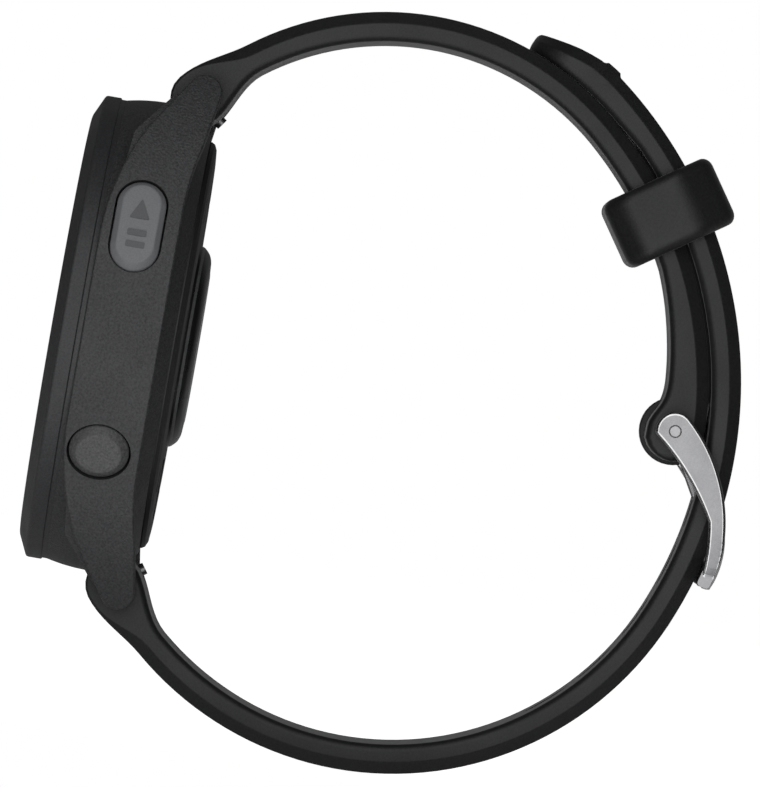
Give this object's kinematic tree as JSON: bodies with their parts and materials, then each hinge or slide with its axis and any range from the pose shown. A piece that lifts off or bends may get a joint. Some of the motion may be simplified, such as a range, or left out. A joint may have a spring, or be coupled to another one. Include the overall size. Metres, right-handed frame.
{
  "type": "gps running watch",
  "caption": "Buckled sports watch with a round polymer case, rear optical sensor bump, side keys and a two-piece silicone strap with a pin buckle and keeper.",
  "frame": {"origin": "centre of the sensor window's flat rear face, which rests on the wrist", "axes": "+Y out of the rear face towards the wrist, +Z towards 12 o'clock, +X towards 3 o'clock; the display faces -Y"},
  "size_m": [0.047, 0.0686, 0.0748],
  "materials": {
    "bezel_polymer": "fine moulded grain, satin",
    "housing_polymer": "fine moulded grain, matt",
    "cover_glass": "polished, black printed border",
    "display": "glossy display panel",
    "inner_frame": "glass-filled, matt",
    "seal_rubber": "matt",
    "antenna_metal": "stamped copper alloy",
    "key_polymer": "satin grey",
    "dark_key_polymer": "fine moulded grain, satin",
    "small_steel": "turned or stamped",
    "strap_silicone": "soft satin silicone",
    "buckle_steel": "bead-blasted, polished edges",
    "cover_polymer": "fine moulded grain",
    "sensor_window": "polished, dark tinted",
    "sensor_trim": "semi-gloss",
    "circuit_board": "solder mask",
    "emitter": "clear epoxy",
    "contact_gold": "gold-plated",
    "cell_foil": "foil pouch",
    "can_steel": "tinned sheet",
    "membrane": "porous film"
  },
  "bodies": {
    "case": {"housing": "housing_polymer", "bezel": "bezel_polymer", "lens": "cover_glass", "lens_gasket": "seal_rubber", "gps_antenna": "antenna_metal", "display_panel": "display", "display_frame": "inner_frame", "main_board": "circuit_board", "shield_can": "can_steel", "battery": "cell_foil", "vibration_motor": "small_steel", "buzzer": "contact_gold", "key_seals": "seal_rubber", "key_switches": "small_steel", "rear_cover": "cover_polymer", "cover_seal": "seal_rubber", "cover_screws": "small_steel", "vent_membrane": "membrane", "charge_socket": "cover_polymer", "charge_contacts": "contact_gold", "sensor_ring": "sensor_trim", "sensor_lens": "sensor_window", "sensor_board": "circuit_board", "sensor_emitters": "emitter", "light_barrier": "inner_frame"},
    "start_key": {"start_key": "key_polymer", "start_key_clip": "small_steel"},
    "back_key": {"back_key": "dark_key_polymer", "back_key_clip": "small_steel"},
    "light_key": {"light_key": "dark_key_polymer", "light_key_clip": "small_steel"},
    "up_key": {"up_key": "dark_key_polymer", "up_key_clip": "small_steel"},
    "down_key": {"down_key": "dark_key_polymer", "down_key_clip": "small_steel"},
    "upper_band": {"upper_strap": "strap_silicone", "upper_bar_tube": "small_steel", "upper_bar_tip": "small_steel", "upper_bar_spring": "small_steel", "buckle_pin": "small_steel"},
    "lower_band": {"lower_strap": "strap_silicone", "lower_bar_tube": "small_steel", "lower_bar_tip": "small_steel", "lower_bar_spring": "small_steel"},
    "upper_release": {"upper_release_pin": "small_steel"},
    "lower_release": {"lower_release_pin": "small_steel"},
    "buckle": {"buckle_frame": "buckle_steel"},
    "tongue": {"buckle_tongue": "buckle_steel"},
    "keeper": {"strap_keeper": "strap_silicone"}
  },
  "joints": [
    {"name": "start_key_press", "type": "slide", "parent": "case", "child": "start_key", "axis": [-0.8957, 0, -0.4446], "range_m": [0, 0.0004], "stiffness_N_per_m": 600, "springref_m": -0.001},
    {"name": "back_key_press", "type": "slide", "parent": "case", "child": "back_key", "axis": [-0.8813, 0, 0.4726], "range_m": [0, 0.0004], "stiffness_N_per_m": 600, "springref_m": -0.001},
    {"name": "light_key_press", "type": "slide", "parent": "case", "child": "light_key", "axis": [0.8813, 0, -0.4726], "range_m": [0, 0.0004], "stiffness_N_per_m": 600, "springref_m": -0.001},
    {"name": "up_key_press", "type": "slide", "parent": "case", "child": "up_key", "axis": [1, 0, 0], "range_m": [0, 0.0004], "stiffness_N_per_m": 600, "springref_m": -0.001},
    {"name": "down_key_press", "type": "slide", "parent": "case", "child": "down_key", "axis": [0.8813, 0, 0.4726], "range_m": [0, 0.0004], "stiffness_N_per_m": 600, "springref_m": -0.001},
    {"name": "upper_strap_hinge", "type": "hinge", "parent": "case", "child": "upper_band", "pos_m": [0, -0.0041, 0.0242], "axis": [1, 0, 0], "range_deg": [0, 75], "deforming": ["upper_strap"]},
    {"name": "lower_strap_hinge", "type": "hinge", "parent": "case", "child": "lower_band", "pos_m": [0, -0.0041, -0.0242], "axis": [-1, 0, 0], "range_deg": [0, 75], "deforming": ["lower_strap"]},
    {"name": "upper_release_slide", "type": "slide", "parent": "upper_band", "child": "upper_release", "axis": [1, 0, 0], "range_m": [0, 0.0014], "stiffness_N_per_m": 300, "springref_m": -0.002, "deforming": ["upper_bar_spring"]},
    {"name": "lower_release_slide", "type": "slide", "parent": "lower_band", "child": "lower_release", "axis": [1, 0, 0], "range_m": [0, 0.0014], "stiffness_N_per_m": 300, "springref_m": -0.002, "deforming": ["lower_bar_spring"]},
    {"name": "buckle_hinge", "type": "hinge", "parent": "upper_band", "child": "buckle", "pos_m": [0, 0.04756, 0.00007], "axis": [1, 0, 0], "range_deg": [0, 65]},
    {"name": "tongue_hinge", "type": "hinge", "parent": "upper_band", "child": "tongue", "pos_m": [0, 0.04756, 0.00007], "axis": [1, 0, 0], "range_deg": [0, 65]},
    {"name": "keeper_slide", "type": "hinge", "parent": "upper_band", "child": "keeper", "pos_m": [0, 0.01034, -0.0015], "axis": [1, 0, 0], "range_deg": [-6, 8]}
  ],
  "couplings": [
    {"joint": "tongue_hinge", "follows": "buckle_hinge", "ratio": 1}
  ]
}
